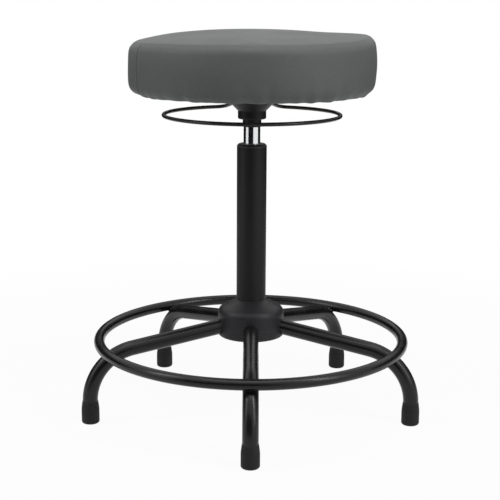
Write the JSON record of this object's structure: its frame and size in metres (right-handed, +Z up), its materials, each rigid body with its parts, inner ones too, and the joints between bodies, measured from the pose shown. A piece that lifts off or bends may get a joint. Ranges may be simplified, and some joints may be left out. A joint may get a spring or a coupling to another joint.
{
  "type": "high stool",
  "caption": "Round upholstered work stool on a gas lift, with a wire release hoop under the seat and a star base of bent tube legs with a foot ring.",
  "frame": {"origin": "on the floor, under the axis of the gas lift", "axes": "+Z up along the lift, -Y towards the front leg, +X to the right seen from the front"},
  "size_m": [0.5662, 0.5659, 0.646],
  "materials": {
    "black_paint": "gloss black powder coat",
    "bare_steel": "zinc plated or machined steel",
    "chrome": "polished chrome",
    "black_plastic": "moulded, satin",
    "black_rubber": "matt rubber",
    "grey_vinyl": "grained vinyl, soft sheen",
    "foam": "open foam",
    "plywood": "raw plywood"
  },
  "bodies": {
    "base": {"leg_front": "black_paint", "leg_front_right": "black_paint", "leg_rear_right": "black_paint", "leg_rear_left": "black_paint", "leg_front_left": "black_paint", "tip_front": "black_rubber", "tip_front_right": "black_rubber", "tip_rear_right": "black_rubber", "tip_rear_left": "black_rubber", "tip_front_left": "black_rubber", "foot_ring": "black_paint", "ring_welds": "black_paint", "hub_sleeve": "bare_steel", "hub_shell_upper": "black_paint", "hub_shell_lower": "black_paint", "column_tube": "black_paint", "column_guide": "black_plastic", "column_floor": "bare_steel", "thrust_washer_lower": "bare_steel", "thrust_balls": "bare_steel"},
    "lift_rod": {"piston_rod": "bare_steel", "rod_clip": "bare_steel", "thrust_washer_upper": "bare_steel", "bump_stop": "black_rubber", "piston": "black_plastic", "piston_ring": "black_rubber"},
    "seat": {"pressure_tube": "chrome", "rod_gland": "bare_steel", "valve_head": "bare_steel", "taper_socket": "black_paint", "seat_plate": "black_paint", "plate_bolts": "bare_steel", "tee_nuts": "bare_steel", "pivot_pin": "bare_steel", "seat_board": "plywood", "seat_foam": "foam", "seat_cover": "grey_vinyl"},
    "release": {"release_hoop": "black_paint", "release_lever": "black_paint"},
    "button": {"valve_button": "bare_steel"}
  },
  "joints": [
    {"name": "seat_swivel", "type": "hinge", "parent": "base", "child": "lift_rod", "pos_m": [0, 0, 0.14], "axis": [0, 0, 1], "continuous": true},
    {"name": "seat_height", "type": "slide", "parent": "lift_rod", "child": "seat", "axis": [0, 0, 1], "range_m": [0, 0.254]},
    {"name": "release_tilt", "type": "hinge", "parent": "seat", "child": "release", "pos_m": [0, -0.02, 0.53402], "axis": [-1, 0, 0], "range_deg": [0, 8], "stiffness_Nm_per_rad": 2, "springref_deg": -14.32},
    {"name": "button_press", "type": "slide", "parent": "seat", "child": "button", "axis": [0, 0, -1], "range_m": [0, 0.0031]}
  ],
  "couplings": [
    {"joint": "button_press", "follows": "release_tilt", "m_per_rad": 0.0215}
  ]
}
